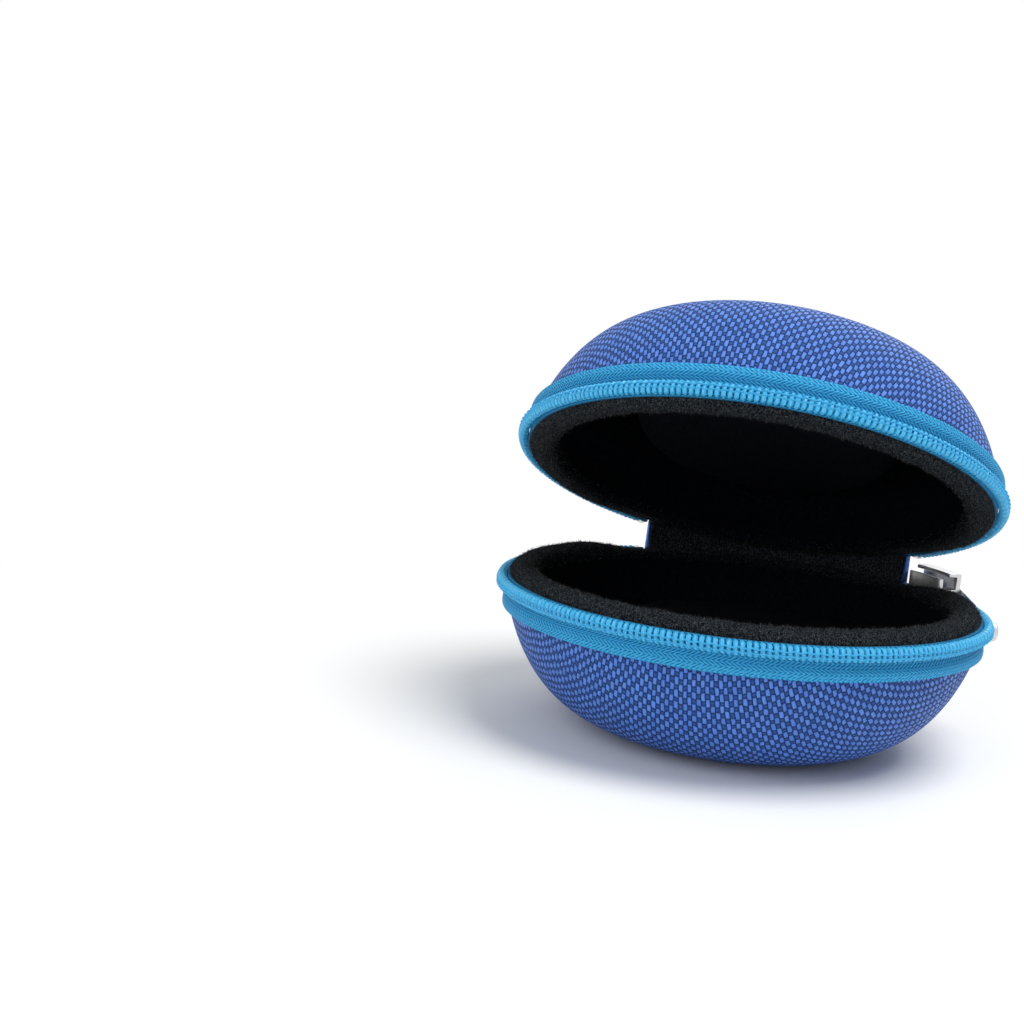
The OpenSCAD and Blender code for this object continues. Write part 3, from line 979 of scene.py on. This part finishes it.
class CASE_OT_tapes(bpy.types.Operator):
    """Sew the herringbone tapes to both rims"""

    bl_idname = "case.tapes"
    bl_label = "Zip tapes"

    def execute(self, context):
        c = case(context)
        sweep = 360 - 2 * c.tape_a
        for half in HALVES:
            bm = turned(tape_profile(c), start=c.tape_a, sweep=sweep)
            lay_map(bm, along_cloth(c.tape_r))
            half_piece(c, half, bm, "zip_tape", "tape", "Zip tape", 50)
            stitches = seam_marks(c, c.tape_a + 0.4, sweep - 1)
            half_piece(c, half, stitches, "seam", "seam_thread", "Thread")
        return {"FINISHED"}


class CASE_OT_coils(bpy.types.Operator):
    """Wind the coils and sew them to the tapes with two rows of thread"""

    bl_idname = "case.coils"
    bl_label = "Zip coils"

    def execute(self, context):
        c = case(context)
        for half in HALVES:
            wire, widths, rows = coil_line(c, c.coil_a, 360 - 2 * c.coil_a)
            coil = tube(wire, c.wire_r, widths)
            half_piece(c, half, coil, "zip_coil", "coil", "Coil nylon")
            threads = joined([tube(line, c.thread_r) for line in rows])
            half_piece(c, half, threads, "zip_coil_thread", "coil_thread", "Thread")
        return {"FINISHED"}


def round_edges(bm, keen, width, clamp=False):
    """Rounds the edges that turn by more than an angle, in degrees."""
    bmesh.ops.bevel(
        bm,
        geom=[e for e in bm.edges if e.calc_face_angle(0) > radians(keen)],
        offset=width,
        segments=3,
        profile=0.5,
        affect="EDGES",
        material=-1,
        clamp_overlap=clamp,
    )


def stop_block(c, start):
    """One moulded stop at the end of a coil, with rounded edges."""
    sweep = degrees(STOP_L / c.tape_r)
    inner, outer = c.tape_r - 0.1, c.out_r - 0.1
    top, low = -COIL_GAP + 0.1, -c.coil_end
    section = [(inner, top), (outer, top), (outer, low), (inner, low)]
    bm = turned(section, start=start, sweep=sweep, steps=3)
    round_edges(bm, 40, 0.35)
    return bm


class CASE_OT_stops(bpy.types.Operator):
    """Mould the stops at the coils' ends"""

    bl_idname = "case.stops"
    bl_label = "Zip stops"

    def execute(self, context):
        c = case(context)
        far = 360 - c.coil_a
        for half in HALVES:
            both = joined([stop_block(c, c.tape_a), stop_block(c, far)])
            half_piece(c, half, both, "stops", "zip_stops", "Plated zinc")
        return {"FINISHED"}


def over_hinge(c, obj):
    """Hangs what is over a piece's crease on the lid, and the rest on the base."""
    low = (0, 0, (c.half_depth - CREASE) * MM)
    high = (0, 0, (c.half_depth + CREASE) * MM)
    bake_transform(obj, "base", "lid", start=low, end=high)


def bent(c, point):
    """Takes a point of the hinge along with the lid, if it is over the crease."""
    return c.with_lid @ point if point.z > 0 else point


def hinge_cloth(c, radius, thickness, reach):
    """A strip of cloth from the base's wall to the lid's, as it lies with the lid open. Its odd
    number of rows leaves one row of faces that spans the crease."""
    bm = bmesh.new()
    across = bm.verts.layers.float.new("across")
    bmesh.ops.create_grid(bm, x_segments=HINGE_COLUMNS, y_segments=HINGE_ROWS, size=1)
    for vert in bm.verts:
        height = reach * vert.co.y
        vert[across] = height
        vert.co = bent(c, on_rim(radius, -c.hinge_a * vert.co.x, height))
    bm.normal_update()
    outward = sum(f.normal.dot(f.calc_center_median().xy.to_3d()) for f in bm.faces)
    if outward < 0:
        bmesh.ops.reverse_faces(bm, faces=bm.faces)
    bmesh.ops.solidify(bm, geom=bm.faces, thickness=thickness)
    bmesh.ops.recalc_face_normals(bm, faces=bm.faces)
    return bm


def hinge_piece(c, name, node, radius, thickness, reach, finish, slot):
    """One strip of the hinge as a piece that bends at the crease."""
    bm = hinge_cloth(c, radius, thickness, reach)
    lay_map(bm, along_cloth(radius, 180))
    strip = piece(bm, name, c.place["base"], finish, stands_for=[node], sharp=60)
    over_hinge(c, strip)
    return strip


class CASE_OT_hinge(bpy.types.Operator):
    """Sew the cloth hinge across the back, inside and outside"""

    bl_idname = "case.hinge"
    bl_label = "Cloth hinge"

    def execute(self, context):
        c = case(context)
        radius, reach = c.wall_r + HINGE_CLEAR + HINGE_T, c.tape_w
        cloth = ("Woven nylon", "nylon_cover")
        strip = hinge_piece(c, "hinge_strip", "hinge_panel", radius, HINGE_T, reach, *cloth)
        # the arc's width and mean height, with the opening of the crease at rest
        inner, low = LIP_R + HINGE_CLEAR + HINGE_LINING_T, GROOVE_DEPTH - HINGE_CLEAR
        cloth = ("Fleece", "fleece")
        strip = hinge_piece(c, "hinge_fleece", "hinge_lining", inner, HINGE_LINING_T, low, *cloth)
        lines = []
        for height in (-c.tape_w + 1, c.tape_w - 1):
            for i in range(HINGE_STITCHES):
                start = -c.hinge_a + 1 + i * (2 * c.hinge_a - 2) / HINGE_STITCHES
                line = []
                for k in range(5):
                    sunk = radius + 0.05 - 0.15 * (abs(k - 2) / 2) ** 2
                    line.append(bent(c, on_rim(sunk, start + k * 0.55, height)))
                lines.append(tube(line, c.thread_r))
        stitches = piece(joined(lines), "hinge_stitches", c.place["base"], "Thread")
        over_hinge(c, stitches)
        return {"FINISHED"}


class CASE_OT_metal(bpy.types.Operator):
    """Round the edges of the slider, its crown and the pull tab"""

    bl_idname = "case.metal"
    bl_label = "Slider and pull"

    def execute(self, context):
        c = case(context)
        for name, node, body in (
            ("slider", "slider_body", "slider"),
            ("slider_bridge", "slider_crown", "slider"),
            ("pull", "pull_tab", "pull"),
        ):
            bm = bmesh.new()
            bm.from_mesh(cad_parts[node].data)
            bmesh.ops.scale(bm, vec=(1 / MM,) * 3, verts=bm.verts)
            bmesh.ops.remove_doubles(bm, verts=bm.verts, dist=1e-4)
            bmesh.ops.dissolve_limit(bm, angle_limit=radians(1.5), verts=bm.verts, edges=bm.edges)
            round_edges(bm, 50, c.metal_edge, clamp=True)
            bmesh.ops.triangulate(bm, faces=[f for f in bm.faces if len(f.verts) > 4])
            piece(bm, name, Matrix.Scale(MM, 4), "Plated zinc", body, [node])
        return {"FINISHED"}


class CASE_OT_stage(bpy.types.Operator):
    """Lay the floor and set the camera and the soft lights"""

    bl_idname = "case.stage"
    bl_label = "Stage"

    def execute(self, context):
        c = case(context)
        scene = context.scene
        scene.view_settings.view_transform = "Standard"
        bm = bmesh.new()
        bmesh.ops.create_circle(bm, cap_ends=True, segments=96, radius=6)
        floor = bpy.data.meshes.new("floor")
        bm.to_mesh(floor)
        bm.free()
        floor.materials.append(bpy.data.materials["Pale floor"])
        ground = bpy.data.objects.new("floor", floor)
        scene.collection.objects.link(ground)

        yaw, pitch, roll = (radians(turn) for turn in CAMERA_TURNS)
        ahead = Vector((sin(yaw) * cos(pitch), cos(yaw) * cos(pitch), -sin(pitch)))
        right = Vector((cos(yaw), -sin(yaw), 0))
        up = Vector((sin(yaw) * sin(pitch), cos(yaw) * sin(pitch), cos(pitch)))
        right, up = cos(roll) * right + sin(roll) * up, cos(roll) * up - sin(roll) * right
        lens = bpy.data.cameras.new("camera")
        lens.lens = LENS
        lens.sensor_width = 36
        lens.clip_start = 0.01
        camera = bpy.data.objects.new("camera", lens)
        x, y, over_mouth = CAMERA_AT
        stand = Matrix.Translation((x, y, over_mouth + c.half_depth * MM))
        camera.matrix_world = stand @ Matrix((right, up, -ahead)).transposed().to_4x4()
        scene.collection.objects.link(camera)
        scene.camera = camera

        for name, at, size, watts in LAMPS:
            lamp = bpy.data.lights.new(name, "AREA")
            lamp.shape = "DISK"
            lamp.size = size
            lamp.energy = watts
            light = bpy.data.objects.new(name, lamp)
            aim = Vector((0, 0, c.half_depth * MM)) - Vector(at)
            turn = aim.to_track_quat("-Z", "Y").to_matrix().to_4x4()
            light.matrix_world = Matrix.Translation(at) @ turn
            scene.collection.objects.link(light)

        world = bpy.data.worlds.new("studio")
        scene.world = world
        world.use_nodes = True
        t = Tree(world.node_tree)
        soft = world.node_tree.nodes["Background"]
        t.fill(soft, Color=SKY, Strength=SKY_STRENGTH)
        white = t.node("ShaderNodeBackground", {"Color": WHITE, "Strength": 1.0})
        t.show("World Output", t.seen(), soft, white)
        return {"FINISHED"}


STEPS = (
    CASE_OT_materials,
    CASE_OT_shells,
    CASE_OT_padding,
    CASE_OT_linings,
    CASE_OT_cushions,
    CASE_OT_tapes,
    CASE_OT_coils,
    CASE_OT_stops,
    CASE_OT_hinge,
    CASE_OT_metal,
    CASE_OT_stage,
)


class CASE_PT_panel(bpy.types.Panel):
    """The case's sizes and colours, and the steps that build it"""

    bl_label = "Travel Case"
    bl_idname = "CASE_PT_panel"
    bl_space_type = "VIEW_3D"
    bl_region_type = "UI"
    bl_category = "Travel Case"

    def draw(self, context):
        for group_name in ("case_sizes", "case_colours"):
            settings = getattr(context.scene, group_name)
            for key in settings.__annotations__:
                self.layout.prop(settings, key)
        for step in STEPS:
            self.layout.operator(step.bl_idname)


def register():
    for cls in (CaseSizes, CaseColours, *STEPS, CASE_PT_panel):
        bpy.utils.register_class(cls)
    bpy.types.Scene.case_sizes = PointerProperty(type=CaseSizes)
    bpy.types.Scene.case_colours = PointerProperty(type=CaseColours)


def unregister():
    del bpy.types.Scene.case_colours
    del bpy.types.Scene.case_sizes
    for cls in (CASE_PT_panel, *STEPS[::-1], CaseColours, CaseSizes):
        bpy.utils.unregister_class(cls)


def main():
    register()
    for step in STEPS:
        family, call = step.bl_idname.split(".")
        getattr(getattr(bpy.ops, family), call)()


if __name__ == "__main__":
    main()
